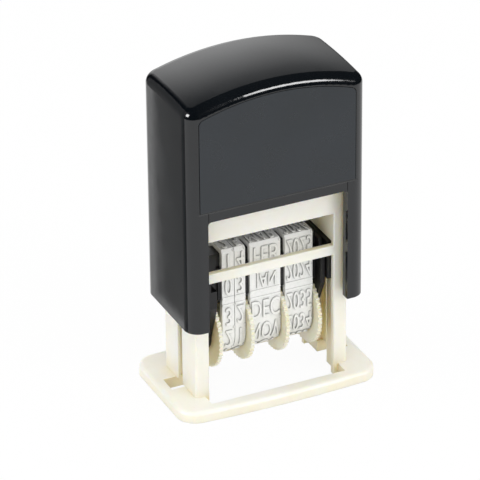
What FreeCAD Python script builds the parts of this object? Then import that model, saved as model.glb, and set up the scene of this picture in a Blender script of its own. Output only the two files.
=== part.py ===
import FreeCAD, Part
import math
import os
import re
import Sketcher

# Self-inking date stamp, in millimetres.
# +X is to the right of the front label, +Y to the back and +Z up.
# The origin is under the middle of the foot, on the paper.

document = FreeCAD.newDocument("DateStamp")
sheet = document.addObject("Spreadsheet::Sheet", "Sizes")

sizes = {
    # Travel of the cap, what is left under it at its end, and the gap from print face to paper
    "stroke_travel": 15.0,
    "cap_stop_gap": 0.9,
    "paper_gap": 0.45,
    # Foot
    "foot_reach": 4.7,
    "foot_bar": 2.35,
    "foot_clearance": 0.3,
    "foot_bow": 0.6,
    "foot_height": 2.3,
    "foot_corner": 4.0,
    "foot_edge": 0.8,
    "foot_inner_edge": 0.3,
    "foot_hole_width": 4.65,
    "foot_hole_half_depth": 2.1,
    # Frame
    "frame_wall": 1.9,
    "frame_half_depth": 7.1,
    "frame_corner": 0.5,
    "bar_edge": 0.25,
    "lip_clearance": 0.77,
    "track_depth": 1.4,
    "track_front": 2.1,
    "track_rear": 2.6,
    "track_clearance": 0.15,
    "track_top_gap": 0.25,
    "lug_gap_half_depth": 1.0,
    "thin_bar_drop": 0.55,
    "thin_bar_height": 2.1,
    "thin_bar_thickness": 1.1,
    "front_window_height": 6.25,
    "top_bar_height": 8.6,
    "top_bar_thickness": 2.0,
    "deck_thickness": 1.6,
    "ledge_reach": 1.0,
    "ledge_height": 1.0,
    "seat_height": 1.5,
    # Ink cartridge
    "tray_height": 4.8,
    "tray_front": 3.9,
    "tray_side_gap": 0.3,
    "tray_bar_gap": 0.2,
    "tray_top_gap": 0.7,
    "pad_clearance": 2.0,
    "pad_reach": 0.35,
    "pad_seat_depth": 3.0,
    "pad_half_depth": 2.4,
    "pad_margin": 0.5,
    # Cap
    "cap_side_gap": 0.4,
    "cap_front_gap": 1.3,
    "cap_wall": 2.0,
    "cap_head_room": 8.8,
    "cap_arch_radius": 55.5,
    "cap_crown_radius": 130.0,
    "crown_spread": 1.3,
    "cap_corner": 2.8,
    "cap_round": 2.1,
    "cap_leg": 4.0,
    "window_drop": 2.25,
    "window_corner": 0.7,
    "groove_rise": 1.8,
    "groove_width": 0.3,
    "groove_depth": 0.18,
    "seam_width": 0.16,
    "seam_depth": 0.12,
    "panel_side_border": 2.3,
    "panel_top_border": 1.95,
    "panel_arch_radius": 48.7,
    "panel_corner": 1.2,
    "panel_thickness": 0.6,
    "panel_gap": 0.12,
    # Return spring and its seats
    "spring_radius": 4.6,
    "wire_radius": 0.35,
    "spring_turns": 5.0,
    "spring_seat_depth": 4.2,
    "spring_guide_length": 2.4,
    "spring_guide_clearance": 0.35,
    # Pivot slides
    "slide_thickness": 1.5,
    "slide_above_pivot": 5.825,
    "slide_below_pivot": 2.325,
    "slide_lip_gap": 0.3,
    # Carrier
    "head_set_back": 2.0,
    "pivot_set_back": 1.3,
    "face_height": 30.7,
    "axle_height": 11.7,
    "plate_thickness": 0.8,
    "plate_clearance": 0.12,
    "plate_front_reach": 6.9,
    "plate_rear_reach": 4.2,
    "plate_front_rise": 7.9,
    "plate_rear_rise": 7.3,
    "plate_boss_radius": 3.1,
    "plate_top_drop": 1.9,
    "plate_cut_depth": 1.5,
    "plate_cut_height": 1.8,
    "arm_radius": 4.0,
    "arm_front_rise": 11.6,
    "pin_radius": 0.9,
    "pin_end_gap": 0.2,
    "running_clearance": 0.05,
    "fixed_clearance": 0.02,
    "axle_radius": 1.0,
    "axle_overhang": 0.1,
    "spacer_radius": 1.7,
    "spacer_length": 1.14,
    "platen_clearance": 0.05,
    "platen_low_gap": 0.35,
    "rib_reach": 0.55,
    "rib_share": 0.65,
    # Bands and thumbwheels
    "band_half_depth": 5.1,
    "band_thickness": 1.0,
    "ridge_inset": 0.4,
    "ridge_depth": 4.0,
    "front_shoulder_drop": 0.7,
    "rear_shoulder_drop": 2.9,
    "tens_width": 2.53,
    "units_width": 2.22,
    "month_width": 6.44,
    "year_width": 5.85,
    "side_gap": 0.12,
    "disc_radius": 7.7,
    "disc_thickness": 0.75,
    "tens_neck": 0.88,
    "drum_clearance": 0.1,
    "knurl_count": 48.0,
    "knurl_radius": 0.34,
}

# Lengths that differ by less than this count as the same when edges are picked
same = 0.01


def fill_sheet():
    for row, (name, size) in enumerate(sizes.items(), start=1):
        sheet.set(f"A{row}", name)
        sheet.set(f"B{row}", str(size))
        sheet.setAlias(f"B{row}", name)
    document.recompute()


def linked(text):
    # The same expression with every size name pointing at the sheet
    def point(word):
        name = word.group()
        return f"Sizes.{name}" if name in sizes else name
    return re.sub(r"[a-z][a-z_]*[a-z]", point, str(text))


def number(text):
    return float(sheet.evalExpression(linked(text)))


def bind(item, **properties):
    for name, text in properties.items():
        item.setExpression(name, linked(text))


def place(item, at, path=".Placement.Base."):
    for axis, text in zip("xyz", at):
        item.setExpression(path + axis, linked(text))


def new_body(label):
    body = document.addObject("PartDesign::Body", label)
    body.Label = label
    return body


# Solid features. Each takes its corners or ends as expressions of the sheet's sizes.
# kind is Additive or Subtractive.

def box(body, kind, low, high):
    feature = body.newObject(f"PartDesign::{kind}Box", f"{kind}Box")
    for side, start, end in zip(("Length", "Width", "Height"), low, high):
        bind(feature, **{side: f"({end}) - ({start})"})
    place(feature, low)
    return feature


def upright(body, kind, radius, x, y, low, high):
    feature = body.newObject(f"PartDesign::{kind}Cylinder", f"{kind}Upright")
    bind(feature, Radius=radius, Height=f"({high}) - ({low})")
    place(feature, (x, y, low))
    return feature


def crosswise(body, kind, radius, left, right, y="0", z="0"):
    # A cylinder along X
    feature = body.newObject(f"PartDesign::{kind}Cylinder", f"{kind}Crosswise")
    feature.Placement.Rotation = FreeCAD.Rotation(FreeCAD.Vector(0, 1, 0), 90)
    bind(feature, Radius=radius, Height=f"({right}) - ({left})")
    place(feature, (left, y, z))
    return feature


def arc_between(start, end, radius):
    # The arc that bulges to the right of the way from start to end
    chord = end - start
    half = chord.Length / 2
    left = FreeCAD.Vector(-chord.y, chord.x, 0).normalize()
    centre = (start + end) / 2 + left * math.sqrt(max(radius ** 2 - half ** 2, 0.0))
    angles = [math.atan2(point.y - centre.y, point.x - centre.x) for point in (start, end)]
    circle = Part.Circle(centre, FreeCAD.Vector(0, 0, 1), radius)
    return Part.ArcOfCircle(circle, angles[0], angles[1])


def outline(sketch, points):
    # One closed loop, counter-clockwise. A third entry is the radius of the arc to the next point.
    first = sketch.GeometryCount
    spots = [FreeCAD.Vector(number(point[0]), number(point[1]), 0) for point in points]
    for index, point in enumerate(points):
        start = spots[index]
        end = spots[(index + 1) % len(spots)]
        if len(point) == 3:
            sketch.addGeometry(arc_between(start, end, number(point[2])), False)
        else:
            sketch.addGeometry(Part.LineSegment(start, end), False)
    for index, point in enumerate(points):
        line = first + index
        follower = first + (index + 1) % len(points)
        sketch.addConstraint(Sketcher.Constraint("Coincident", line, 2, follower, 1))
        rules = [("DistanceX", point[0], spots[index].x), ("DistanceY", point[1], spots[index].y)]
        for kind, text, size in rules:
            rule = sketch.addConstraint(Sketcher.Constraint(kind, -1, 1, line, 1, size))
            sketch.setExpression(f"Constraints[{rule}]", linked(text))
        if len(point) == 3:
            rule = sketch.addConstraint(Sketcher.Constraint("Radius", line, number(point[2])))
            sketch.setExpression(f"Constraints[{rule}]", linked(point[2]))


def sketch_on(body, role, loops, offset="0"):
    sketch = body.newObject("Sketcher::SketchObject", "Sketch")
    plane = [item for item in body.Origin.OriginFeatures if item.Role == role][0]
    sketch.AttachmentSupport = (plane, [""])
    sketch.MapMode = "FlatFace"
    sketch.setExpression(".AttachmentOffset.Base.z", linked(offset))
    for points in loops:
        outline(sketch, points)
    return sketch


def pad(body, sketch, length, symmetric=False):
    feature = body.newObject("PartDesign::Pad", "Pad")
    feature.Profile = sketch
    feature.Midplane = symmetric
    bind(feature, Length=length)
    return feature


def pocket(body, sketch, length, symmetric=False):
    feature = body.newObject("PartDesign::Pocket", "Pocket")
    feature.Profile = sketch
    feature.Midplane = symmetric
    bind(feature, Length=length)
    return feature


def round_edges(body, radius, wanted):
    document.recompute()
    tip = body.Tip
    names = [f"Edge{index}" for index, edge in enumerate(tip.Shape.Edges, start=1) if wanted(edge)]
    feature = body.newObject("PartDesign::Fillet", "Fillet")
    feature.Base = (tip, names)
    bind(feature, Radius=radius)
    return feature


def rectangle(left, right, low, high):
    return [(left, low), (right, low), (right, high), (left, high)]


# What stands on the axle, from left to right, with a running gap before each and at the end.
# A wheel is a thin knurled disc beside its band and a drum inside it.

stack = [
    ("spacer", "spacer_length"),
    ("tens_disc", "(disc_thickness + tens_neck)"),
    ("band_tens", "tens_width"),
    ("band_units", "units_width"),
    ("units_disc", "disc_thickness"),
    ("band_month", "month_width"),
    ("month_disc", "disc_thickness"),
    ("band_year", "year_width"),
    ("year_disc", "disc_thickness"),
]

# Places that several pieces share, as expressions

plate_inner = f"(({' + '.join(width for name, width in stack)} + {len(stack) + 1} * side_gap) / 2)"
left_of = {}
right_of = {}
edge_so_far = f"-{plate_inner}"
for piece, piece_width in stack:
    left_of[piece] = f"({edge_so_far} + side_gap)"
    right_of[piece] = f"({left_of[piece]} + {piece_width})"
    edge_so_far = right_of[piece]

plate_outer = f"({plate_inner} + plate_thickness)"
slide_inner = f"({plate_outer} + plate_clearance)"
slide_outer = f"({slide_inner} + slide_thickness)"
frame_clear = f"({plate_outer} + lip_clearance)"
wall_inner = f"({slide_outer} + track_clearance)"
post_outer = f"({wall_inner} + frame_wall)"
track_outer = f"({wall_inner} + track_depth)"
cap_inside = f"({post_outer} + cap_side_gap)"
cap_half_width = f"({cap_inside} + cap_wall)"
window_half_width = f"({cap_half_width} - cap_leg)"
foot_half_width = f"({post_outer} + foot_reach)"

bar_inside = "(frame_half_depth - top_bar_thickness)"
cap_inside_depth = "(frame_half_depth + cap_front_gap)"
cap_half_depth = f"({cap_inside_depth} + cap_wall)"
foot_inside_depth = "(head_set_back + disc_radius + foot_clearance)"
foot_half_depth = f"({foot_inside_depth} + foot_bar)"
lip_inside = "(frame_half_depth - thin_bar_thickness)"
slide_half_depth = f"({lip_inside} - slide_lip_gap)"
tray_rear = f"({bar_inside} - tray_bar_gap)"

pivot_z = "((face_height + paper_gap + stroke_travel) / 2)"
slide_low = f"({pivot_z} - slide_below_pivot)"
slide_high = f"({pivot_z} + slide_above_pivot)"
track_top = f"({slide_high} + track_top_gap)"
thin_bar_top = f"({track_top} - thin_bar_drop)"
front_bar_low = f"({track_top} + front_window_height)"
frame_top = f"({front_bar_low} + top_bar_height)"
pad_low = "(face_height + paper_gap + pad_clearance)"
tray_low = f"({pad_low} + pad_reach)"
pad_high = f"({tray_low} + pad_seat_depth)"
tray_high = f"({tray_low} + tray_height)"
rear_bar_low = f"({tray_high} + tray_top_gap)"
cap_bottom = "(foot_height + stroke_travel + cap_stop_gap)"
cap_apex = f"({frame_top} + stroke_travel + cap_head_room)"
crown_reach = f"sqrt(cap_crown_radius * cap_crown_radius - {cap_half_depth} * {cap_half_depth})"
crown_rise = f"(cap_crown_radius - {crown_reach})"
window_top = f"({frame_top} - window_drop)"
groove_low = f"({window_top} + groove_rise)"
panel_apex = f"({cap_apex} - panel_top_border)"
spring_top = f"({cap_apex} - spring_seat_depth)"
arch_centre = f"({cap_apex} - cap_arch_radius)"
inner_arch_radius = "(cap_arch_radius - cap_wall)"

band_front = "(head_set_back - band_half_depth)"
ridge_front = f"({band_front} + ridge_inset)"
ridge_back = f"({ridge_front} + ridge_depth)"
ridge_middle = f"({ridge_front} + ridge_depth / 2)"
platen_half = "(band_half_depth - band_thickness - platen_clearance)"
platen_low = "(axle_height + disc_radius + platen_low_gap)"
drum_radius = "(band_half_depth - band_thickness - drum_clearance)"
guide_radius = "(spring_radius - wire_radius - spring_guide_clearance)"

bands = ("band_tens", "band_units", "band_month", "band_year")

# Left side of the disc, and both ends of the whole wheel
wheels = {
    "thumbwheel_tens": (left_of["tens_disc"], left_of["tens_disc"], right_of["band_tens"]),
    "thumbwheel_units": (left_of["units_disc"], left_of["band_units"], right_of["units_disc"]),
    "thumbwheel_month": (left_of["month_disc"], left_of["band_month"], right_of["month_disc"]),
    "thumbwheel_year": (left_of["year_disc"], left_of["band_year"], right_of["year_disc"]),
}


def both_sides(left, right):
    # The same stretch of X on the right side and mirrored on the left
    return [(left, right), (f"-({right})", f"-({left})")]


def make_foot(frame):
    inset_x = f"({foot_half_width} - foot_corner)"
    inset_y = f"({foot_half_depth} - foot_corner)"
    bow = f"(({inset_x} * {inset_x} + foot_bow * foot_bow) / (2 * foot_bow))"
    outer = [
        (f"-{inset_x}", f"-{foot_half_depth}", bow),
        (inset_x, f"-{foot_half_depth}", "foot_corner"),
        (foot_half_width, f"-{inset_y}"),
        (foot_half_width, inset_y, "foot_corner"),
        (inset_x, foot_half_depth, bow),
        (f"-{inset_x}", foot_half_depth, "foot_corner"),
        (f"-{foot_half_width}", inset_y),
        (f"-{foot_half_width}", f"-{inset_y}", "foot_corner"),
    ]
    inner = rectangle(f"-{wall_inner}", wall_inner, f"-{foot_inside_depth}", foot_inside_depth)
    pad(frame, sketch_on(frame, "XY_Plane", [outer, inner]), "foot_height")
    height = number("foot_height")
    reach = number(foot_inside_depth)
    width = number(wall_inner)

    def on_top_rim(edge):
        bounds = edge.BoundBox
        level = abs(bounds.ZMin - height) < same and abs(bounds.ZMax - height) < same
        middle = edge.CenterOfMass
        return level and (abs(middle.y) > reach + same or abs(middle.x) > width + same)
    round_edges(frame, "foot_edge", on_top_rim)

    def on_inner_rim(edge):
        middle = edge.CenterOfMass
        return abs(middle.z - height) < same and abs(abs(middle.y) - reach) < same
    round_edges(frame, "foot_inner_edge", on_inner_rim)


def make_side_walls(frame):
    for left, right in both_sides(frame_clear, post_outer):
        box(frame, "Additive", (left, "-frame_half_depth", "0"),
            (right, "frame_half_depth", frame_top))
    side = number(post_outer)

    def on_outer_corner(edge):
        middle = edge.CenterOfMass
        tall = edge.BoundBox.ZLength > edge.BoundBox.YLength
        return tall and edge.BoundBox.XLength < same and abs(abs(middle.x) - side) < same
    round_edges(frame, "frame_corner", on_outer_corner)


def cut_tracks(frame):
    # Between the lips runs the slide, in the groove behind it the rail, and in the slot the lug
    hole_outer = f"({wall_inner} + foot_hole_width)"
    cuts = [
        (frame_clear, wall_inner, f"-{lip_inside}", lip_inside, "0", track_top),
        (wall_inner, track_outer, "-track_front", "track_rear", "foot_height", track_top),
        (track_outer, post_outer, "-lug_gap_half_depth", "lug_gap_half_depth", "foot_height", track_top),
        (wall_inner, hole_outer, "-foot_hole_half_depth", "foot_hole_half_depth", "0", "foot_height"),
    ]
    for inner, outer, near, far, low, high in cuts:
        for left, right in both_sides(inner, outer):
            box(frame, "Subtractive", (left, near, low), (right, far, high))


def make_frame_bars(frame):
    left, right = f"-{frame_clear}", frame_clear
    front, back = "-frame_half_depth", "frame_half_depth"
    box(frame, "Additive", (left, front, f"{thin_bar_top} - thin_bar_height"),
        (right, f"-{lip_inside}", thin_bar_top))
    box(frame, "Additive", (left, front, front_bar_low), (right, f"-{bar_inside}", frame_top))
    box(frame, "Additive", (left, bar_inside, rear_bar_low), (right, back, frame_top))
    box(frame, "Additive", (left, front, f"{frame_top} - deck_thickness"), (right, back, frame_top))
    for start, end in both_sides(f"({frame_clear} - ledge_reach)", frame_clear):
        box(frame, "Additive", (start, "-ledge_reach", f"{tray_low} - ledge_height"),
            (end, tray_rear, tray_low))
    upright(frame, "Additive", guide_radius, "0", "0", frame_top, f"{frame_top} + seat_height")


def round_frame_windows(frame):
    # The edges of the windows in the front and back faces
    face = number("frame_half_depth")
    low = number("foot_height")
    side = number(post_outer) - number("frame_corner")

    def on_window(edge):
        bounds = edge.BoundBox
        on_face = bounds.YLength < same and abs(abs(bounds.YMin) - face) < same
        above_foot = bounds.ZMax > low + same
        inside = abs(edge.CenterOfMass.x) < side - same and bounds.ZMax < number(frame_top) - same
        return on_face and above_foot and inside
    round_edges(frame, "bar_edge", on_window)


def make_base_frame():
    frame = new_body("base_frame")
    make_foot(frame)
    make_side_walls(frame)
    cut_tracks(frame)
    make_frame_bars(frame)
    round_frame_windows(frame)


def pad_ends():
    return f"({left_of['band_tens']} - pad_margin)", f"({right_of['band_year']} + pad_margin)"


def make_ink_pad_tray():
    tray = new_body("ink_pad_tray")
    half_width = f"({frame_clear} - tray_side_gap)"
    box(tray, "Additive", (f"-{half_width}", "-tray_front", tray_low), (half_width, tray_rear, tray_high))
    start, end = pad_ends()
    box(tray, "Subtractive", (start, f"{ridge_middle} - pad_half_depth", tray_low),
        (end, f"{ridge_middle} + pad_half_depth", pad_high))


def make_ink_pad():
    ink_pad = new_body("ink_pad")
    start, end = pad_ends()
    box(ink_pad, "Additive", (start, f"{ridge_middle} - pad_half_depth", pad_low),
        (end, f"{ridge_middle} + pad_half_depth", pad_high))


def arched(half_width, low, arch_centre_z, radius):
    # A front view with straight sides and a round top
    shoulder = f"({arch_centre_z} + sqrt({radius} * {radius} - {half_width} * {half_width}))"
    return [
        (f"-{half_width}", low), (half_width, low), (half_width, shoulder, radius),
        (f"-{half_width}", shoulder),
    ]


def is_upright(edge):
    bounds = edge.BoundBox
    return bounds.XLength < same and bounds.YLength < same


def make_cap_shell(cap):
    # The front view is turned about an axis far below, which crowns the top from front to back
    front = arched(cap_half_width, cap_bottom, f"({arch_centre} + {crown_rise})", "cap_arch_radius")
    sketch = sketch_on(cap, "XZ_Plane", [front])
    axis_height = f"({cap_apex} + {crown_rise} - cap_crown_radius)"
    level = number(axis_height)
    half = number(cap_half_width)
    ends = FreeCAD.Vector(-half, level, 0), FreeCAD.Vector(half, level, 0)
    axis = sketch.addGeometry(Part.LineSegment(*ends), True)
    for end, side in ((1, f"-{cap_half_width}"), (2, cap_half_width)):
        for kind, text in (("DistanceX", side), ("DistanceY", axis_height)):
            rule = sketch.addConstraint(Sketcher.Constraint(kind, -1, 1, axis, end, number(text)))
            sketch.setExpression(f"Constraints[{rule}]", linked(text))
    document.recompute()
    shell = cap.newObject("PartDesign::Revolution", "Crown")
    shell.Profile = sketch
    shell.ReferenceAxis = (sketch, ["Axis0"])
    shell.Midplane = True
    bind(shell, Angle=f"2 * crown_spread * atan({cap_half_depth} / ({cap_bottom} - {axis_height}))")
    far = "cap_crown_radius"
    for near, away in ((f"-{far}", f"-{cap_half_depth}"), (cap_half_depth, far)):
        box(cap, "Subtractive", (f"-{cap_half_width}", near, "0"), (cap_half_width, away, f"2 * {cap_apex}"))
    box(cap, "Subtractive", (f"-{cap_half_width}", f"-{far}", "0"), (cap_half_width, far, cap_bottom))
    low = number(cap_bottom)
    round_edges(cap, "cap_corner", is_upright)
    round_edges(cap, "cap_round", lambda edge: edge.BoundBox.ZMin > low + same and not is_upright(edge))
    hollow = arched(cap_inside, cap_bottom, arch_centre, inner_arch_radius)
    pocket(cap, sketch_on(cap, "XZ_Plane", [hollow]), f"2 * {cap_inside_depth}", symmetric=True)


def make_cap_windows(cap):
    shoulder = f"({window_top} - window_corner)"
    inset = f"({window_half_width} - window_corner)"
    window = [
        (f"-{window_half_width}", cap_bottom), (window_half_width, cap_bottom),
        (window_half_width, shoulder, "window_corner"), (inset, window_top),
        (f"-{inset}", window_top, "window_corner"), (f"-{window_half_width}", shoulder),
    ]
    pocket(cap, sketch_on(cap, "XZ_Plane", [window]), f"2 * {cap_half_depth}", symmetric=True)


def panel_outline(gap):
    low = f"({groove_low} + groove_width + {gap})"
    half = f"({cap_half_width} - panel_side_border - {gap})"
    radius = f"(panel_arch_radius - {gap})"
    return arched(half, low, f"({panel_apex} - panel_arch_radius)", radius)


def round_panel_corners(body):
    # The two upper corners, on the panel and in its seat
    thickness = number("panel_thickness")
    depth = number(cap_half_depth)
    middle_height = number(f"({groove_low} + {panel_apex}) / 2")
    widest = number(f"{cap_half_width} - panel_side_border") + same

    def on_corner(edge):
        bounds = edge.BoundBox
        through = bounds.YLength > thickness / 2 and abs(bounds.YMax + depth - thickness) < same
        straight = bounds.XLength < same and bounds.ZLength < same
        return through and straight and bounds.ZMin > middle_height and abs(bounds.XMin) < widest
    round_edges(body, "panel_corner", on_corner)


def make_cap_front(cap):
    # The groove right across the front and back, and the shallow seat of the label panel
    depth = f"({cap_half_depth} - groove_depth)"
    for near, far in ((f"-{cap_half_depth}", f"-{depth}"), (depth, cap_half_depth)):
        box(cap, "Subtractive", (f"-{cap_half_width}", near, groove_low),
            (cap_half_width, far, f"{groove_low} + groove_width"))
    for side in (f"-{window_half_width}", f"({window_half_width} - seam_width)"):
        box(cap, "Subtractive", (side, f"-{cap_half_depth}", window_top),
            (f"{side} + seam_width", f"-({cap_half_depth} - seam_depth)", groove_low))
    seat = sketch_on(cap, "XZ_Plane", [panel_outline("0")], f"{cap_half_depth} - panel_thickness")
    feature = pocket(cap, seat, "panel_thickness")
    feature.Reversed = True
    round_panel_corners(cap)


def make_cap_spring_seat(cap):
    upright(cap, "Additive", "spring_radius + wire_radius + spring_guide_clearance", "0", "0",
            spring_top, f"{cap_apex} - cap_wall")
    upright(cap, "Additive", guide_radius, "0", "0", f"{spring_top} - spring_guide_length", spring_top)


def make_cap_housing():
    cap = new_body("cap_housing")
    make_cap_shell(cap)
    make_cap_windows(cap)
    make_cap_front(cap)
    make_cap_spring_seat(cap)


def make_front_label_panel():
    panel = new_body("front_label_panel")
    front = sketch_on(panel, "XZ_Plane", [panel_outline("panel_gap")],
                      f"{cap_half_depth} - panel_thickness")
    pad(panel, front, "panel_thickness")
    round_panel_corners(panel)


def make_return_spring():
    # An open coil between the frame's deck and the seat inside the cap
    coil = document.addObject("Part::Helix", "spring_path")
    length = f"({spring_top} - {frame_top} - 2 * wire_radius)"
    bind(coil, Radius="spring_radius", Height=length, Pitch=f"{length} / spring_turns")
    wire = document.addObject("Part::Circle", "spring_wire")
    wire.Placement.Rotation = FreeCAD.Rotation(FreeCAD.Vector(1, 0, 0), 90)
    bind(wire, Radius="wire_radius")
    place(wire, ("spring_radius", "0", "0"))
    spring = document.addObject("Part::Sweep", "return_spring")
    spring.Label = "return_spring"
    spring.Sections = [wire]
    spring.Spine = (coil, [])
    spring.Solid = True
    spring.Frenet = True
    place(spring, ("0", "0", f"{frame_top} + wire_radius"))


def make_pivot_slides():
    # A plate beside the carrier, a rail in the frame's track and a lug through to the cap's wall
    for name, side in (("pivot_slide_left", -1), ("pivot_slide_right", 1)):
        slide = new_body(name)
        parts = [
            (slide_inner, slide_outer, f"-{slide_half_depth}", slide_half_depth),
            (slide_outer, f"({track_outer} - track_clearance)",
             "-(track_front - track_clearance)", "track_rear - track_clearance"),
            (f"({track_outer} - track_clearance)", cap_inside,
             "-(lug_gap_half_depth - track_clearance)", "lug_gap_half_depth - track_clearance"),
        ]
        for inner, outer, front, back in parts:
            left, right = both_sides(inner, outer)[0 if side > 0 else 1]
            box(slide, "Additive", (left, front, slide_low), (right, back, slide_high))
        bore_end = f"({track_outer} - 2 * track_clearance)"
        left, right = both_sides(slide_inner, bore_end)[0 if side > 0 else 1]
        crosswise(slide, "Subtractive", "pin_radius + running_clearance", left, right,
                  "pivot_set_back", pivot_z)


def round_end(radius):
    # The half circle under the axle, in two quarters
    return [
        (f"(head_set_back - {radius})", "axle_height", radius),
        ("head_set_back", f"(axle_height - {radius})", radius),
        (f"(head_set_back + {radius})", "axle_height"),
    ]


def make_side_plates():
    # Wide at the pivot, cut off at its upper front corner and drawn in to a round boss at the axle.
    # The left one is thicker inside from the first wheel up to the platen, and at the front past it.
    front = "(head_set_back - plate_front_reach)"
    back = "(head_set_back + plate_rear_reach)"
    top = "(face_height - plate_top_drop)"
    shoulder = "(axle_height + plate_front_rise)"
    side = [
        *round_end("plate_boss_radius"), (back, "(axle_height + plate_rear_rise)"), (back, top),
        (f"({front} + plate_cut_depth)", top), (front, f"({top} - plate_cut_height)"),
        (front, shoulder),
    ]
    before_platen = f"(head_set_back - {platen_half} - side_gap)"
    under_platen = f"({platen_low} - side_gap)"
    arm = [
        *round_end("arm_radius"), (back, "(axle_height + plate_rear_rise)"), (back, under_platen),
        (before_platen, under_platen), (before_platen, "(axle_height + arm_front_rise)"),
        (front, "(axle_height + arm_front_rise)"), (front, shoulder),
    ]
    for name, index in (("side_plate_left", 1), ("side_plate_right", 0)):
        plate = new_body(name)
        left, right = both_sides(plate_inner, plate_outer)[index]
        pad(plate, sketch_on(plate, "YZ_Plane", [side], left), "plate_thickness")
        if name == "side_plate_left":
            inner = right_of["spacer"]
            pad(plate, sketch_on(plate, "YZ_Plane", [arm], f"-{plate_inner}"), f"{inner} + {plate_inner}")
            crosswise(plate, "Subtractive", "spacer_radius + fixed_clearance", f"-{plate_inner}", inner,
                      "head_set_back", "axle_height")
        crosswise(plate, "Subtractive", "pin_radius + fixed_clearance", left, right,
                  "pivot_set_back", pivot_z)
        crosswise(plate, "Subtractive", "axle_radius + fixed_clearance", left, right,
                  "head_set_back", "axle_height")


def make_pivot_pins():
    for name, index in (("pivot_pin_left", 1), ("pivot_pin_right", 0)):
        pin = new_body(name)
        outer = f"({track_outer} - 2 * track_clearance - pin_end_gap)"
        left, right = both_sides(plate_inner, outer)[index]
        crosswise(pin, "Additive", "pin_radius", left, right, "pivot_set_back", pivot_z)


def make_platen_bridge():
    # The block between the side plates that the bands run over, with a rib beside each band
    platen = new_body("platen_bridge")
    front = f"(head_set_back - {platen_half})"
    back = f"(head_set_back + {platen_half})"
    drop = "(band_thickness + platen_clearance)"
    shoulder = f"(face_height - rear_shoulder_drop - {drop})"
    ridge = f"(face_height - {drop})"
    section = [
        (front, platen_low), (back, platen_low), (back, shoulder), (ridge_back, ridge), (front, ridge),
    ]
    pad(platen, sketch_on(platen, "YZ_Plane", [section], f"-{plate_inner}"), f"2 * {plate_inner}")
    for disc in ("tens_disc", "units_disc", "month_disc", "year_disc"):
        start = f"({right_of[disc]} - disc_thickness * rib_share)"
        box(platen, "Additive", (start, f"{front} - rib_reach", platen_low),
            (right_of[disc], f"{back} + rib_reach", shoulder))


def make_wheel_axle():
    axle = new_body("wheel_axle")
    ends = f"({plate_outer} + axle_overhang)"
    crosswise(axle, "Additive", "axle_radius", f"-{ends}", ends, "head_set_back", "axle_height")


def make_axle_spacer():
    spacer = new_body("axle_spacer")
    left, right = left_of["spacer"], right_of["spacer"]
    crosswise(spacer, "Additive", "spacer_radius", left, right, "head_set_back", "axle_height")
    crosswise(spacer, "Subtractive", "axle_radius + fixed_clearance", left, right,
              "head_set_back", "axle_height")


def band_loop(inset, front_corner):
    # Round the drum below, up the back, forward over the platen and down the front
    half = f"(band_half_depth - {inset})"
    rear_shoulder = f"(face_height - rear_shoulder_drop - {inset})"
    return [
        *round_end(half), (f"(head_set_back + {half})", rear_shoulder),
        (ridge_back, f"(face_height - {inset})"), *front_corner,
    ]


def make_bands():
    # The print face is cut off at its front corner, and the inside has a plain corner there
    outer = [(ridge_front, "face_height"), (band_front, "(face_height - front_shoulder_drop)")]
    inner = [(f"({band_front} + band_thickness)", "(face_height - band_thickness)")]
    for name in bands:
        band = new_body(name)
        loops = [band_loop("0", outer), band_loop("band_thickness", inner)]
        pad(band, sketch_on(band, "YZ_Plane", loops, left_of[name]), f"{right_of[name]} - {left_of[name]}")


def make_wheels():
    # Each wheel is drawn round the X axis and then set on the axle
    for name, (disc_left, left, right) in wheels.items():
        wheel = new_body(name)
        disc_right = f"({disc_left} + disc_thickness)"
        crosswise(wheel, "Additive", "disc_radius", disc_left, disc_right)
        groove = crosswise(wheel, "Subtractive", "knurl_radius", disc_left, disc_right, "disc_radius")
        document.recompute()
        pattern = wheel.newObject("PartDesign::PolarPattern", "Knurl")
        pattern.Originals = [groove]
        axis = [item for item in wheel.Origin.OriginFeatures if item.Role == "X_Axis"][0]
        pattern.Axis = (axis, [""])
        pattern.Angle = 360
        bind(pattern, Occurrences="knurl_count")
        wheel.Tip = pattern
        crosswise(wheel, "Additive", drum_radius, left, right)
        crosswise(wheel, "Subtractive", "axle_radius + running_clearance", left, right)
        place(wheel, ("0", "head_set_back", "axle_height"))


def check_and_write(labels):
    document.recompute()
    for item in document.Objects:
        if "Invalid" in item.State or "Error" in item.State:
            raise RuntimeError(f"{item.Label} failed: {item.State}")
    nodes = {item.Label: item for item in document.Objects if item.Label in labels}
    for label, item in nodes.items():
        if item.Shape.isNull() or not item.Shape.isValid() or not item.Shape.Solids:
            raise RuntimeError(f"{label} has no valid solid")
    os.makedirs("parts", exist_ok=True)
    for label, item in nodes.items():
        item.Shape.exportStep(f"parts/{label}.step")
        bounds = item.Shape.BoundBox
        print(f"{label}: {item.Shape.Volume:.1f} mm3, {len(item.Shape.Solids)} solid,"
              f" x {bounds.XMin:.2f} to {bounds.XMax:.2f}, y {bounds.YMin:.2f} to {bounds.YMax:.2f},"
              f" z {bounds.ZMin:.2f} to {bounds.ZMax:.2f}")


fill_sheet()
make_base_frame()
make_ink_pad_tray()
make_ink_pad()
make_cap_housing()
make_front_label_panel()
make_return_spring()
make_pivot_slides()
make_side_plates()
make_pivot_pins()
make_platen_bridge()
make_wheel_axle()
make_axle_spacer()
make_bands()
make_wheels()
check_and_write([
    "base_frame", "ink_pad_tray", "ink_pad", "cap_housing", "front_label_panel", "return_spring",
    "pivot_slide_left", "pivot_slide_right", "side_plate_left", "side_plate_right",
    "pivot_pin_left", "pivot_pin_right", "platen_bridge", "wheel_axle", "axle_spacer",
    *bands, *wheels,
])
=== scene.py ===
import math

import bmesh
import bpy
from mathutils import Matrix, Vector


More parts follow.
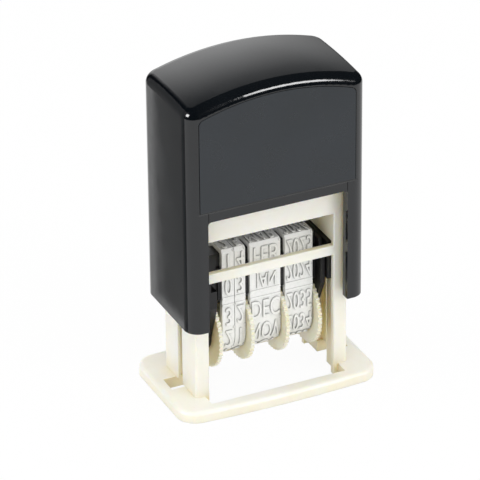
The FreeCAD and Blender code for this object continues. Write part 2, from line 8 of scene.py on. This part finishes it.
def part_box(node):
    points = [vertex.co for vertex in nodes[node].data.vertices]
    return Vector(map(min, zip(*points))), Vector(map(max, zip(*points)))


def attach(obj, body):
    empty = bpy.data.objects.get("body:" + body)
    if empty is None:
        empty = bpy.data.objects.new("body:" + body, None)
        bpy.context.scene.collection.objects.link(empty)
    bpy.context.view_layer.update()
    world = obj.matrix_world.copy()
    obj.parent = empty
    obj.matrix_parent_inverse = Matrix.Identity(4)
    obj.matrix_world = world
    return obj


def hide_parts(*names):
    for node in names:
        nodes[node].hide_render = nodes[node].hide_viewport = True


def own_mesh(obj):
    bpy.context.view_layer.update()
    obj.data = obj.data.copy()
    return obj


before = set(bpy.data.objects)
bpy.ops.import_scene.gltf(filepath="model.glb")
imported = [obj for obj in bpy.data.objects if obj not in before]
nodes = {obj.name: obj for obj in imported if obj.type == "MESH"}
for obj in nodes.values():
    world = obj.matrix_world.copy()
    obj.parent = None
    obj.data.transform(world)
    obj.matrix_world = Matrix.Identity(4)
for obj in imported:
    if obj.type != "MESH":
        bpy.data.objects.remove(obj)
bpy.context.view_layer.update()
mm = 0.001
touching = 0.001 * mm  # corners as near as this are one corner
print("frame loaded:", len(nodes), "nodes")


# What the materials are put together from

middle = (0.35, 0.65)  # the range that most of a noise lies in
peaks = (0.55, 0.8)    # its highest blobs alone, as dust lies in specks
smooth = {"interpolation_type": "SMOOTHSTEP"}
multiply = {"operation": "MULTIPLY"}
mixColours = {"data_type": "RGBA"}
colourA, colourB, colourOut = 6, 7, 2  # places of the colour sockets on a Mix node
hollowSamples = 12


def linearColour(hexText):
    # sRGB hex to the linear value that a shader socket takes
    channels = [int(hexText[place:place + 2], 16) / 255 for place in (1, 3, 5)]
    linear = [c / 12.92 if c <= 0.04045 else ((c + 0.055) / 1.055) ** 2.4 for c in channels]
    return (*linear, 1.0)


def setInputs(tree, node, inputs):
    # A node is linked from its first output and a socket from itself, and hex text is a colour
    for name, value in inputs.items():
        if isinstance(value, bpy.types.Node):
            value = value.outputs[0]
        if isinstance(value, bpy.types.NodeSocket):
            tree.links.new(value, node.inputs[name])
        else:
            node.inputs[name].default_value = linearColour(value) if isinstance(value, str) else value


def addNode(tree, kind, settings=None, inputs=None):
    node = tree.nodes.new(kind)
    for name, value in (settings or {}).items():
        setattr(node, name, value)
    setInputs(tree, node, inputs or {})
    return node


def emptyTree(owner):
    owner.use_nodes = True
    owner.node_tree.nodes.clear()
    return owner.node_tree


def startMaterial(name, metallic=0.0, ior=1.5):
    material = bpy.data.materials.new(name)
    tree = emptyTree(material)
    shader = addNode(tree, "ShaderNodeBsdfPrincipled", inputs={"Metallic": metallic, "IOR": ior})
    addNode(tree, "ShaderNodeOutputMaterial", inputs={"Surface": shader})
    coords = addNode(tree, "ShaderNodeTexCoord").outputs["Object"]
    return material, tree, shader, coords


def blobs(coords, size, detail):
    # What a Noise Texture takes for blobs of about the given size in metres
    return {"Vector": coords, "Scale": 1 / size, "Detail": detail}


def fade(value, limits, low=0.0, high=1.0):
    # What a Map Range takes to go from low to high between two limits
    return {"Value": value, "From Min": limits[0], "From Max": limits[1], "To Min": low, "To Max": high}


def mottle(tree, coords, size, limits=middle, low=0.0, high=1.0, detail=3.0):
    # A value that goes from low to high in soft blobs
    noise = addNode(tree, "ShaderNodeTexNoise", inputs=blobs(coords, size, detail))
    return addNode(tree, "ShaderNodeMapRange", smooth, fade(noise, limits, low, high))


def threads(tree, coords, size, stretch, detail=3.0):
    # Blobs drawn out into lines along the axis with the smallest number in stretch
    drawn = addNode(tree, "ShaderNodeMapping", inputs={"Vector": coords, "Scale": stretch})
    return addNode(tree, "ShaderNodeTexNoise", inputs=blobs(drawn, size, detail))


def grainy(tree, coords, size, height, under=None, detail=2.0):
    # Bumps of a size and height in metres, which may lie on other bumps
    noise = addNode(tree, "ShaderNodeTexNoise", inputs=blobs(coords, size, detail))
    relief = addNode(tree, "ShaderNodeBump", inputs={"Height": noise, "Distance": height})
    if under:
        setInputs(tree, relief, {"Normal": under})
    return relief


def paintShadeInHollows(tree, colour, hexText, amount, look):
    # Painted shade: another colour where little of the sky is seen within reach
    hollows = addNode(tree, "ShaderNodeAmbientOcclusion", {"samples": hollowSamples},
                      {"Distance": look["hollowReach"]})
    share = addNode(tree, "ShaderNodeMapRange", smooth,
                    fade(hollows.outputs["AO"], look["hollowRange"], amount, 0.0))
    tinted = {"Factor": share, colourA: colour, colourB: hexText}
    return addNode(tree, "ShaderNodeMix", mixColours, tinted).outputs[colourOut]


def mouldedPlastic(name, look):
    # Injection-moulded plastic: slow flow marks in colour and gloss, and the fine grain of the mould
    material, tree, shader, coords = startMaterial(name, ior=look["ior"])
    flow = mottle(tree, coords, look["flowSize"])
    colour = addNode(tree, "ShaderNodeMix", mixColours, {
        "Factor": flow, colourA: look["colour"], colourB: look["flowColour"]}).outputs[colourOut]
    dust = mottle(tree, coords, look["dustSize"], peaks, 0.0, look["dustAmount"], detail=4.0)
    colour = addNode(tree, "ShaderNodeMix", mixColours, {
        "Factor": dust, colourA: colour, colourB: look["dustColour"]}).outputs[colourOut]
    # Painted shade: a tint in the hollows, where little light reaches
    if "paintedShadeColour" in look:
        colour = paintShadeInHollows(tree, colour, look["paintedShadeColour"], look["paintedShadeAmount"], look)
    wave = grainy(tree, coords, look["waveSize"], look["waveHeight"], detail=1.0)
    setInputs(tree, shader, {
        "Base Color": colour,
        "Roughness": mottle(tree, coords, look["smearSize"], middle, *look["roughness"]),
        "Normal": grainy(tree, coords, look["grainSize"], look["grainHeight"], under=wave),
    })
    if "translucence" in look:
        setInputs(tree, shader, {
            "Subsurface Weight": look["translucence"], "Subsurface Radius": look["lightColour"],
            "Subsurface Scale": look["lightReach"],
        })
    return material


# Moulded ABS, black and polished: deep black under a clear gloss, with faint waves from shrinking
capPlastic = mouldedPlastic("mouldedAbsGlossBlack", {
    "colour": "#090C10", "flowColour": "#0B0F13", "flowSize": 12 * mm,
    "dustColour": "#34383C", "dustSize": 0.35 * mm, "dustAmount": 0.06,
    "ior": 1.58, "roughness": (0.09, 0.13), "smearSize": 4 * mm,
    "waveSize": 9 * mm, "waveHeight": 0.004 * mm, "grainSize": 0.5 * mm, "grainHeight": 0.0006 * mm,
})

# The same ABS with a satin face: a duller, greyer black that spreads what it reflects
panelPlastic = mouldedPlastic("satinAbsBlackPlate", {
    "colour": "#181F25", "flowColour": "#1B2229", "flowSize": 10 * mm,
    "dustColour": "#3A3F44", "dustSize": 0.3 * mm, "dustAmount": 0.03,
    "ior": 1.54, "roughness": (0.27, 0.33), "smearSize": 5 * mm,
    "waveSize": 10 * mm, "waveHeight": 0.003 * mm,
    "grainSize": 0.28 * mm, "grainHeight": 0.0012 * mm,
})

# Moulded acetal for the running parts: a matt black that shows a grey sheen at a low angle
mechanismPlastic = mouldedPlastic("mouldedAcetalBlack", {
    "colour": "#09090B", "flowColour": "#0D0D0F", "flowSize": 6 * mm,
    "dustColour": "#2E2E30", "dustSize": 0.3 * mm, "dustAmount": 0.1,
    "ior": 1.48, "roughness": (0.34, 0.46), "smearSize": 2 * mm,
    "waveSize": 4 * mm, "waveHeight": 0.004 * mm, "grainSize": 0.3 * mm, "grainHeight": 0.002 * mm,
})

# Black polystyrene of the ink cartridge, with a mould grain that breaks up its shine
trayPlastic = mouldedPlastic("grainedStyreneBlack", {
    "colour": "#141416", "flowColour": "#1A1A1D", "flowSize": 7 * mm,
    "dustColour": "#2B2433", "dustSize": 0.5 * mm, "dustAmount": 0.3,
    "ior": 1.58, "roughness": (0.3, 0.42), "smearSize": 2 * mm,
    "waveSize": 5 * mm, "waveHeight": 0.004 * mm, "grainSize": 0.22 * mm, "grainHeight": 0.003 * mm,
})

# Moulded ABS in its natural ivory: warm white and a little translucent, with a soft shine.
# Painted shade: its hollows are tinted yellower, for the light that bounces about in them.
framePlastic = mouldedPlastic("mouldedAbsIvory", {
    "colour": "#F6F4EC", "flowColour": "#F3F0E4", "flowSize": 9 * mm,
    "translucence": 0.4, "lightReach": 1.6 * mm, "lightColour": (1.0, 0.72, 0.34),
    "paintedShadeColour": "#F2E2AC", "paintedShadeAmount": 0.7,
    "hollowReach": 12 * mm, "hollowRange": (0.2, 0.75),
    "dustColour": "#DED7BE", "dustSize": 0.6 * mm, "dustAmount": 0.12,
    "ior": 1.54, "roughness": (0.3, 0.4), "smearSize": 3 * mm,
    "waveSize": 6 * mm, "waveHeight": 0.006 * mm,
    "grainSize": 0.35 * mm, "grainHeight": 0.0015 * mm,
})

# The thumbwheels are the same plastic, a little yellower with tan specks from handling, and painted
# shade that tints their hollows yellower still
wheelPlastic = mouldedPlastic("mouldedAbsIvoryHandled", {
    "colour": "#F6F3E2", "flowColour": "#F2ECD2", "flowSize": 4 * mm,
    "translucence": 0.4, "lightReach": 1.2 * mm, "lightColour": (1.0, 0.72, 0.34),
    "paintedShadeColour": "#F0E0A8", "paintedShadeAmount": 0.6,
    "hollowReach": 6 * mm, "hollowRange": (0.2, 0.75),
    "dustColour": "#CDBF94", "dustSize": 0.4 * mm, "dustAmount": 0.15,
    "ior": 1.54, "roughness": (0.34, 0.46), "smearSize": 1.5 * mm,
    "waveSize": 3 * mm, "waveHeight": 0.005 * mm, "grainSize": 0.25 * mm, "grainHeight": 0.002 * mm,
})


def vulcanisedRubber(look):
    # Moulded white rubber: chalky and matt, with a talc bloom, specks of ink dust, and painted shade
    # that greys its hollows
    material, tree, shader, coords = startMaterial("vulcanisedRubberWhite", ior=1.52)
    bloom = mottle(tree, coords, look["bloomSize"])
    colour = addNode(tree, "ShaderNodeMix", mixColours, {
        "Factor": bloom, colourA: look["colour"], colourB: look["bloomColour"]}).outputs[colourOut]
    grime = mottle(tree, coords, look["grimeSize"], look["grimeRange"], 0.0, look["grimeAmount"],
                   detail=5.0)
    colour = addNode(tree, "ShaderNodeMix", mixColours, {
        "Factor": grime, colourA: colour, colourB: look["grimeColour"]}).outputs[colourOut]
    setInputs(tree, shader, {
        # Painted shade: grey in the hollows between and beside the characters
        "Base Color": paintShadeInHollows(tree, colour, look["paintedShadeGrey"], look["paintedGreyAmount"], look),
        "Roughness": mottle(tree, coords, look["bloomSize"] / 2, middle, *look["roughness"], detail=2.0),
        "Normal": grainy(tree, coords, look["pitSize"], look["pitHeight"], detail=3.0),
        "Sheen Weight": look["sheen"], "Sheen Roughness": look["sheenRoughness"],
    })
    return material


bandRubber = vulcanisedRubber({
    "colour": "#F6F7F4", "bloomColour": "#FAFAF8", "bloomSize": 1.4 * mm,
    "grimeColour": "#C6C6C0", "grimeSize": 0.5 * mm, "grimeAmount": 0.2, "grimeRange": (0.52, 0.75),
    "paintedShadeGrey": "#9B9C9A", "paintedGreyAmount": 0.8, "hollowReach": 0.8 * mm, "hollowRange": (0.3, 0.95),
    "roughness": (0.5, 0.66), "sheen": 0.15, "sheenRoughness": 0.4,
    "pitSize": 0.12 * mm, "pitHeight": 0.004 * mm,
})


def drawnSteel(name, look):
    # Bright steel wire or rod: fine draw lines along its length and a thin film of oil
    material, tree, shader, coords = startMaterial(name, metallic=1.0)
    lines = threads(tree, coords, look["lineSize"], look["stretch"])
    share = addNode(tree, "ShaderNodeMapRange", smooth, fade(lines, middle))
    colour = addNode(tree, "ShaderNodeMix", mixColours, {
        "Factor": share, colourA: look["colour"], colourB: look["lineColour"]}).outputs[colourOut]
    roughness = addNode(tree, "ShaderNodeMapRange", smooth, fade(lines, middle, *look["roughness"]))
    relief = addNode(tree, "ShaderNodeBump", inputs={"Height": lines, "Distance": look["lineHeight"]})
    setInputs(tree, shader, {"Base Color": colour, "Roughness": roughness, "Normal": relief})
    return material


# Turned rod: the draw lines run along X, so the noise is stretched that way
axleSteel = drawnSteel("drawnSteelRod", {
    "colour": "#C9CBCC", "lineColour": "#A9ABAD", "lineSize": 0.12 * mm, "stretch": (0.04, 1.0, 1.0),
    "lineHeight": 0.001 * mm, "roughness": (0.2, 0.34),
})

# Spring wire: duller, with lines that the coiling has turned upwards
springSteel = drawnSteel("oilTemperedSpringWire", {
    "colour": "#B4B5B6", "lineColour": "#8C8E90", "lineSize": 0.2 * mm, "stretch": (1.0, 1.0, 0.3),
    "lineHeight": 0.001 * mm, "roughness": (0.24, 0.4),
})


def inkedFelt(look):
    # Wool felt soaked in black ink: matted fibres, with a wet shine where the ink stands
    material, tree, shader, coords = startMaterial("inkedWoolFelt", ior=1.4)
    fibres, crossed = [threads(tree, coords, look["fibreSize"], stretch, detail=6.0)
                       for stretch in look["stretches"]]
    matted = addNode(tree, "ShaderNodeMath", multiply, {0: fibres, 1: crossed})
    share = addNode(tree, "ShaderNodeMapRange", smooth, fade(matted, look["fibreRange"]))
    colour = addNode(tree, "ShaderNodeMix", mixColours, {
        "Factor": share, colourA: look["colour"], colourB: look["fibreColour"]}).outputs[colourOut]
    roughness = mottle(tree, coords, look["wetSize"], middle, *look["roughness"], detail=2.0)
    relief = addNode(tree, "ShaderNodeBump", inputs={"Height": matted, "Distance": look["fibreHeight"]})
    setInputs(tree, shader, {"Base Color": colour, "Roughness": roughness, "Normal": relief})
    return material


padFelt = inkedFelt({
    "colour": "#0E0C14", "fibreColour": "#262330", "fibreRange": (0.12, 0.4),
    "fibreSize": 0.3 * mm, "fibreHeight": 0.12 * mm, "stretches": [(1.0, 0.25, 1.0), (0.3, 1.0, 1.0)],
    "wetSize": 2.5 * mm, "roughness": (0.45, 0.8),
})

finishes = {
    "base_frame": framePlastic, "ink_pad_tray": trayPlastic, "ink_pad": padFelt,
    "cap_housing": capPlastic, "front_label_panel": panelPlastic, "return_spring": springSteel,
    "pivot_slide_left": mechanismPlastic, "pivot_slide_right": mechanismPlastic,
    "side_plate_left": mechanismPlastic, "side_plate_right": mechanismPlastic,
    "pivot_pin_left": axleSteel, "pivot_pin_right": axleSteel,
    "platen_bridge": mechanismPlastic, "wheel_axle": axleSteel, "axle_spacer": wheelPlastic,
    "band_tens": bandRubber, "band_units": bandRubber,
    "band_month": bandRubber, "band_year": bandRubber,
    "thumbwheel_tens": wheelPlastic, "thumbwheel_units": wheelPlastic,
    "thumbwheel_month": wheelPlastic, "thumbwheel_year": wheelPlastic,
}
for node, finish in finishes.items():
    nodes[node].data.materials.clear()
    nodes[node].data.materials.append(finish)
print("finishes set")


def addPiece(name, mesh, body, material):
    piece = bpy.data.objects.new(name, mesh)
    bpy.context.scene.collection.objects.link(piece)
    mesh.materials.clear()
    mesh.materials.append(material)
    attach(piece, body)
    return piece


def meshFrom(name, shape):
    mesh = bpy.data.meshes.new(name)
    shape.to_mesh(mesh)
    shape.free()
    return mesh


# What the bands carry: moulded characters, upside down and mirrored so that they print the right way

bandLook = {
    "capHeight": 3.9 * mm, "relief": 0.4 * mm, "sink": 0.06 * mm, "draft": 0.06 * mm,
    "strokeSpread": 0.04 * mm, "condensed": 0.6, "sideMargin": 0.28 * mm, "curveSteps": 3,
    "leastTall": 0.6,  # in the font's units, so that a dash stays a dash
    "ridgeInset": 0.4 * mm, "ridgeDepth": 4.0 * mm,
    "frontShoulder": 0.7 * mm, "rearShoulder": 2.9 * mm, "sliceLength": 0.45 * mm,
    "joinGap": 1.7 * mm, "joinWidth": 0.45 * mm, "joinHeight": 0.14 * mm, "joinSpread": 0.45,
    "lugWidth": 0.3 * mm, "lugLength": 0.5 * mm, "lugHeight": 0.2 * mm, "softEdge": 0.45,
    "printEntry": 2,
}
# The entry with the index printEntry stands on the print face, and those before it come down the front
bandRows = {
    "band_tens": ["0", "1", "2", "3"] * 3,
    "band_units": ["3", "4", "5", "6", "7", "8", "9", "-", "9", "0", "1", "2"],
    "band_month": ["JAN", "FEB", "MAR", "APR", "MAY", "JUN", "JUL", "AUG", "SEP", "OCT", "NOV", "DEC"],
    "band_year": [str(2024 + index) for index in range(12)],
}


def bandPath(node):
    # The band's outer line seen from the side, from the middle of the print face forward and down.
    # A run is (length, start, direction). The one round the drum has its centre and no direction.
    low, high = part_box(node)
    half = (high.y - low.y) / 2
    axle = Vector((0, (high.y + low.y) / 2, low.z + half))
    ridgeFront = low.y + bandLook["ridgeInset"]
    ridgeBack = ridgeFront + bandLook["ridgeDepth"]
    ridgeMiddle = Vector((0, (ridgeFront + ridgeBack) / 2, high.z))
    downFront = [
        ridgeMiddle, Vector((0, ridgeFront, high.z)),
        Vector((0, low.y, high.z - bandLook["frontShoulder"])), Vector((0, low.y, axle.z)),
    ]
    upBack = [
        Vector((0, high.y, axle.z)), Vector((0, high.y, high.z - bandLook["rearShoulder"])),
        Vector((0, ridgeBack, high.z)), ridgeMiddle,
    ]
    before, after = [
        [((b - a).length, a, (b - a).normalized()) for a, b in zip(corners, corners[1:])]
        for corners in (downFront, upBack)
    ]
    return half, before + [(math.pi * half, axle, None)] + after


def bandLength(path):
    return sum(length for length, start, direction in path[1])


def onBand(path, travel):
    # Point and outward direction at a distance along the path
    half, runs = path
    travel = travel % bandLength(path)
    for length, start, direction in runs:
        if travel <= length:
            break
        travel -= length
    if direction is None:
        angle = travel / half
        outward = Vector((0, -math.cos(angle), -math.sin(angle)))
        return start + outward * half, outward
    return start + direction * travel, Vector((0, direction.z, -direction.y))


def wrapOnBand(shape, path, travel, centreX):
    # x goes across the band, y along it and z away from it
    reach = max(abs(vert.co.y) for vert in shape.verts)
    slices = math.ceil(reach / bandLook["sliceLength"])
    for index in range(-slices, slices + 1):
        everything = shape.verts[:] + shape.edges[:] + shape.faces[:]
        place = (0, index * bandLook["sliceLength"], 0)
        bmesh.ops.bisect_plane(shape, geom=everything, plane_co=place, plane_no=(0, 1, 0))
    for vert in shape.verts:
        across, along, away = vert.co
        spot, outward = onBand(path, travel + along)
        vert.co = Vector((centreX + across, spot.y, spot.z)) + outward * away
    bmesh.ops.recalc_face_normals(shape, faces=shape.faces)


def characterShape(text, width):
    # The word as a low solid of the height of the characters, no wider than asked
    curve = bpy.data.curves.new("characters", "FONT")
    curve.body = text
    holder = bpy.data.objects.new("characters", curve)
    bpy.context.scene.collection.objects.link(holder)
    bpy.context.view_layer.objects.active = holder
    bpy.ops.object.select_all(action="DESELECT")
    holder.select_set(True)
    bpy.ops.object.convert(target="CURVE")
    outline = holder.data
    points = [point.co for spline in outline.splines for point in spline.bezier_points]
    left, right = min(point.x for point in points), max(point.x for point in points)
    bottom, top = min(point.y for point in points), max(point.y for point in points)
    tall = bandLook["capHeight"] / max(top - bottom, bandLook["leastTall"])
    wide = min(tall * bandLook["condensed"], width / (right - left))
    centre = Vector(((left + right) / 2, (top + bottom) / 2, 0))
    outline.transform(Matrix.Diagonal((wide, tall, 1, 1)) @ Matrix.Translation(-centre))
    outline.resolution_u = bandLook["curveSteps"]
    outline.offset = bandLook["strokeSpread"] - bandLook["draft"]
    outline.extrude = (bandLook["relief"] + bandLook["sink"]) / 2 - bandLook["draft"]
    outline.bevel_depth = bandLook["draft"]
    outline.bevel_resolution = 0
    mesh = bpy.data.meshes.new_from_object(holder)
    bpy.data.objects.remove(holder)
    shape = bmesh.new()
    shape.from_mesh(mesh)
    bpy.data.meshes.remove(mesh)
    bmesh.ops.remove_doubles(shape, verts=shape.verts, dist=touching)
    rise = (bandLook["relief"] - bandLook["sink"]) / 2
    bmesh.ops.translate(shape, verts=shape.verts, vec=(0, 0, rise))
    return shape


def barShape(wide, long, height, side=0.0):
    # A low bar with soft top edges, its foot a little inside the rubber
    shape = bmesh.new()
    bmesh.ops.create_cube(shape, size=1.0)
    sink = bandLook["sink"]
    bmesh.ops.scale(shape, verts=shape.verts, vec=(wide, long, height + sink))
    bmesh.ops.translate(shape, verts=shape.verts, vec=(side, 0, (height - sink) / 2))
    topEdges = [edge for edge in shape.edges if min(vert.co.z for vert in edge.verts) > height / 2]
    bmesh.ops.bevel(shape, geom=topEdges, offset=height * bandLook["softEdge"], segments=2,
                    profile=0.5, affect="EDGES", material=-1)
    return shape


def makeCharacters(node):
    low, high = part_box(node)
    width = high.x - low.x
    centreX = (low.x + high.x) / 2
    path = bandPath(node)
    rows = bandRows[node]
    printEntry, joinGap = bandLook["printEntry"], bandLook["joinGap"]
    pitch = (bandLength(path) - joinGap) / len(rows)
    whole = bmesh.new()

    def lay(shape, travel):
        wrapOnBand(shape, path, travel, centreX)
        mesh = meshFrom("row", shape)
        whole.from_mesh(mesh)
        bpy.data.meshes.remove(mesh)

    # The band's ends meet in a gap between the first entry and the last, two low bars beside it
    side = (width - bandLook["lugWidth"]) / 2
    for row in range(len(rows)):
        travel = row * pitch + (joinGap if row > printEntry else 0.0)
        text = rows[(printEntry - row) % len(rows)]
        lay(characterShape(text, width - 2 * bandLook["sideMargin"]), travel)
        lug = travel + pitch / 2 + (joinGap if row == printEntry else 0.0)
        lay(barShape(bandLook["lugWidth"], bandLook["lugLength"], bandLook["lugHeight"], side), lug)
    join = (printEntry + 0.5) * pitch + joinGap / 2
    for end in (-1, 1):
        lay(barShape(width, bandLook["joinWidth"], bandLook["joinHeight"]),
            join + end * bandLook["joinSpread"] * joinGap)
    name = node.replace("band_", "") + "BandCharacters"
    addPiece(name, meshFrom(name, whole), "carrier", bandRubber)


for node in bandRows:
    makeCharacters(node)
print("band characters laid on")


# The felt of the ink pad, crowned a little towards the print face

padLook = {
    "crown": 0.25 * mm, "flatness": (4, 2), "edge": 0.5 * mm, "cells": 0.45 * mm,
    "nap": 0.03 * mm, "ripples": (2.1, 1.7),
}


def makeInkPad():
    low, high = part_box("ink_pad")
    size = high - low
    cells = padLook["cells"]
    shape = bmesh.new()
    bmesh.ops.create_cube(shape, size=1.0)
    bmesh.ops.scale(shape, verts=shape.verts, vec=size)
    bmesh.ops.bevel(shape, geom=shape.edges[:], offset=padLook["edge"], segments=3, profile=0.5,
                    affect="EDGES", material=-1)
    for axis, reach in enumerate(size):
        count = int(reach / cells / 2)
        for index in range(-count, count + 1):
            everything = shape.verts[:] + shape.edges[:] + shape.faces[:]
            place, normal = [0, 0, 0], [0, 0, 0]
            place[axis] = index * cells
            normal[axis] = 1
            bmesh.ops.bisect_plane(shape, geom=everything, plane_co=place, plane_no=normal)
    flatX, flatY = padLook["flatness"]
    for vert in shape.verts:
        x, y = vert.co.xy
        bulge = (1 - (2 * x / size.x) ** flatX) * (1 - (2 * y / size.y) ** flatY)
        if vert.co.z < 0:
            vert.co.z += padLook["crown"] * (1 - bulge)
        if vert.co.z < 0:
            ripple = [math.sin(at / cells * often) for at, often in zip((x, y), padLook["ripples"])]
            vert.co.z += padLook["nap"] * (ripple[0] * ripple[1])
        vert.co.z = max(vert.co.z, -size.z / 2)
    bmesh.ops.translate(shape, verts=shape.verts, vec=(low + high) / 2)
    bmesh.ops.recalc_face_normals(shape, faces=shape.faces)
    pad = addPiece("inkPadFelt", meshFrom("inkPadFelt", shape), "frame", padFelt)
    pad.data.shade_smooth()
    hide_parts("ink_pad")


makeInkPad()
print("ink pad made")


# The return spring, merged into a piece of its own that goes with the cap

springLook = {"stroke": 15 * mm, "sharpFrom": math.radians(30)}


def makeReturnSpring():
    shape = bmesh.new()
    shape.from_mesh(nodes["return_spring"].data)
    bmesh.ops.remove_doubles(shape, verts=shape.verts, dist=touching)
    mesh = meshFrom("returnSpringWire", shape)
    mesh.attributes.remove(mesh.attributes["custom_normal"])  # it belonged to the loose triangles
    mesh.shade_smooth()
    mesh.set_sharp_from_angle(angle=springLook["sharpFrom"])
    wire = addPiece("returnSpringWire", mesh, "cap", springSteel)
    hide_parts("return_spring")
    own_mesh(wire)


makeReturnSpring()
print("return spring made")


# The room: a round white board, soft lamps, a bright patch of wall behind and a grey card on the left

boardLook = {"radius": 0.24, "sides": 96, "colour": "#F4F4F4", "lift": 0.95}


def addStage(name, shape, material):
    mesh = meshFrom(name, shape)
    mesh.materials.append(material)
    piece = bpy.data.objects.new(name, mesh)
    bpy.context.scene.collection.objects.link(piece)
    return piece


def makeFloor():
    # Painted board that keeps a faint shadow, lifted to white for the camera and in reflections
    material = bpy.data.materials.new("paintedBoardWhite")
    tree = emptyTree(material)
    paint = addNode(tree, "ShaderNodeBsdfDiffuse", inputs={"Color": boardLook["colour"]})
    ray = addNode(tree, "ShaderNodeLightPath").outputs
    seen = addNode(tree, "ShaderNodeMath", {"operation": "MAXIMUM"},
                   {0: ray["Is Camera Ray"], 1: ray["Is Glossy Ray"]})
    lift = addNode(tree, "ShaderNodeMath", multiply, {0: seen, 1: boardLook["lift"]})
    glow = addNode(tree, "ShaderNodeEmission", inputs={"Strength": 1.0})
    both = addNode(tree, "ShaderNodeMixShader", inputs={0: lift, 1: paint, 2: glow})
    addNode(tree, "ShaderNodeOutputMaterial", inputs={"Surface": both})
    shape = bmesh.new()
    bmesh.ops.create_circle(shape, cap_ends=True, segments=boardLook["sides"],
                            radius=boardLook["radius"])
    floor = addStage("floor", shape, material)


wallLook = {
    "dome": 0.62,
    # A row is an axis of the ray's direction, where along it the wall fades, and from what to what
    "patch": [
        ("Y", (0.7, 0.93), 0.03, 2.2),
        ("X", (-0.25, 0.17), 0.0, 1.0),
        ("X", (0.3, 0.55), 1.0, 0.7),
        ("Z", (-0.1, 0.3), 0.3, 1.0),
    ],
}


def makeWorld():
    # White to the camera, an even dome to matt surfaces, and a bright patch behind to shiny ones
    world = bpy.data.worlds.new("studio")
    bpy.context.scene.world = world
    tree = emptyTree(world)
    coords = addNode(tree, "ShaderNodeTexCoord")
    axes = addNode(tree, "ShaderNodeSeparateXYZ", inputs={"Vector": coords.outputs["Generated"]})
    glow = None
    for axis, limits, before, after in wallLook["patch"]:
        share = addNode(tree, "ShaderNodeMapRange", smooth,
                        fade(axes.outputs[axis], limits, before, after))
        glow = addNode(tree, "ShaderNodeMath", multiply, {0: glow, 1: share}) if glow else share
    ray = addNode(tree, "ShaderNodeLightPath").outputs
    mirrored = addNode(tree, "ShaderNodeMix", {"data_type": "FLOAT"},
                       {"Factor": ray["Is Glossy Ray"], "A": wallLook["dome"], "B": glow})
    shown = addNode(tree, "ShaderNodeMix", {"data_type": "FLOAT"},
                    {"Factor": ray["Is Camera Ray"], "A": mirrored, "B": 1.0})
    background = addNode(tree, "ShaderNodeBackground", inputs={"Color": "#FFFFFF", "Strength": shown})
    addNode(tree, "ShaderNodeOutputWorld", inputs={"Surface": background})


cardLook = {"colour": "#9C9C9C", "low": (-33 * mm, -4 * mm, 0.0), "high": (-32.5 * mm, 37 * mm, 80 * mm)}


def makeCard():
    # A grey card beside the object that only its reflections show
    material = bpy.data.materials.new("cardboardGrey")
    tree = emptyTree(material)
    paint = addNode(tree, "ShaderNodeBsdfDiffuse", inputs={"Color": cardLook["colour"]})
    addNode(tree, "ShaderNodeOutputMaterial", inputs={"Surface": paint})
    low, high = Vector(cardLook["low"]), Vector(cardLook["high"])
    shape = bmesh.new()
    bmesh.ops.create_cube(shape, size=1.0)
    bmesh.ops.scale(shape, verts=shape.verts, vec=high - low)
    bmesh.ops.translate(shape, verts=shape.verts, vec=(low + high) / 2)
    card = addStage("greyCard", shape, material)
    card.visible_camera = False
    card.visible_diffuse = False
    card.visible_shadow = False
    card.visible_transmission = False


# The softboxes light the object and aren't reflected. The shines are only seen in its gloss.
lamps = {
    "overheadSoftbox": {"place": (0.05, -0.15, 0.9), "aim": (0, 0, 0.02), "size": (0.9, 0.9),
                        "power": 3.0, "lights": True},
    "frontSoftbox": {"place": (-0.25, -0.85, 0.45), "aim": (0, 0, 0.03), "size": (0.7, 0.5),
                     "power": 0.7, "lights": True},
    "leftSoftbox": {"place": (-0.85, 0.1, 0.55), "aim": (0, 0, 0.02), "size": (0.8, 0.8),
                    "power": 3.0, "lights": True},
    "rightSoftbox": {"place": (0.41, -0.74, 0.42), "aim": (0, 0, 0.05), "size": (0.3, 0.26),
                     "power": 1.7, "lights": True},
    "rightShine": {"place": (0.4, -0.765, 0.42), "aim": (0, 0, 0.05), "size": (0.33, 0.25),
                   "power": 3.6, "lights": False},
    "leftShine": {"place": (-0.88, -0.05, 0.42), "aim": (0, 0, 0.05), "size": (0.36, 0.36),
                  "power": 6.8, "lights": False},
}


def addLamp(name, look):
    lamp = bpy.data.lights.new(name, "AREA")
    lamp.shape = "RECTANGLE"
    lamp.size, lamp.size_y = look["size"]
    lamp.energy = look["power"]
    holder = bpy.data.objects.new(name, lamp)
    bpy.context.scene.collection.objects.link(holder)
    holder.location = look["place"]
    aim = Vector(look["aim"]) - Vector(look["place"])
    holder.rotation_euler = aim.to_track_quat("-Z", "Y").to_euler()
    holder.visible_camera = False
    holder.visible_diffuse = look["lights"]
    holder.visible_glossy = not look["lights"]


makeFloor()
makeWorld()
makeCard()
for name, look in lamps.items():
    addLamp(name, look)
print("room lit")


# The camera that took the photograph, found from the foot, posts, cap and bands

cameraLook = {
    "azimuth": -24.96, "elevation": 28.942, "roll": -0.557, "distance": 0.7463,
    "target": (-3.201 * mm, 0.0, 30.273 * mm),
    "focal": 3920.2, "frame": 480,  # both in pixels
    "sensor": 36.0, "clip": (0.05, 50),
}


def makeCamera():
    camera = bpy.data.cameras.new("camera")
    camera.sensor_width = cameraLook["sensor"]
    camera.lens = cameraLook["focal"] / cameraLook["frame"] * cameraLook["sensor"]
    camera.clip_start, camera.clip_end = cameraLook["clip"]
    holder = bpy.data.objects.new("camera", camera)
    bpy.context.scene.collection.objects.link(holder)
    turn = Matrix.Rotation(math.radians(cameraLook["azimuth"]), 4, "Z")
    tilt = Matrix.Rotation(math.radians(90 - cameraLook["elevation"]), 4, "X")
    roll = Matrix.Rotation(math.radians(cameraLook["roll"]), 4, "Z")
    back = Matrix.Translation((0, 0, cameraLook["distance"]))
    holder.matrix_world = Matrix.Translation(cameraLook["target"]) @ turn @ tilt @ roll @ back
    bpy.context.scene.camera = holder


makeCamera()
bpy.context.scene.view_settings.view_transform = "Standard"

print("scene finished")
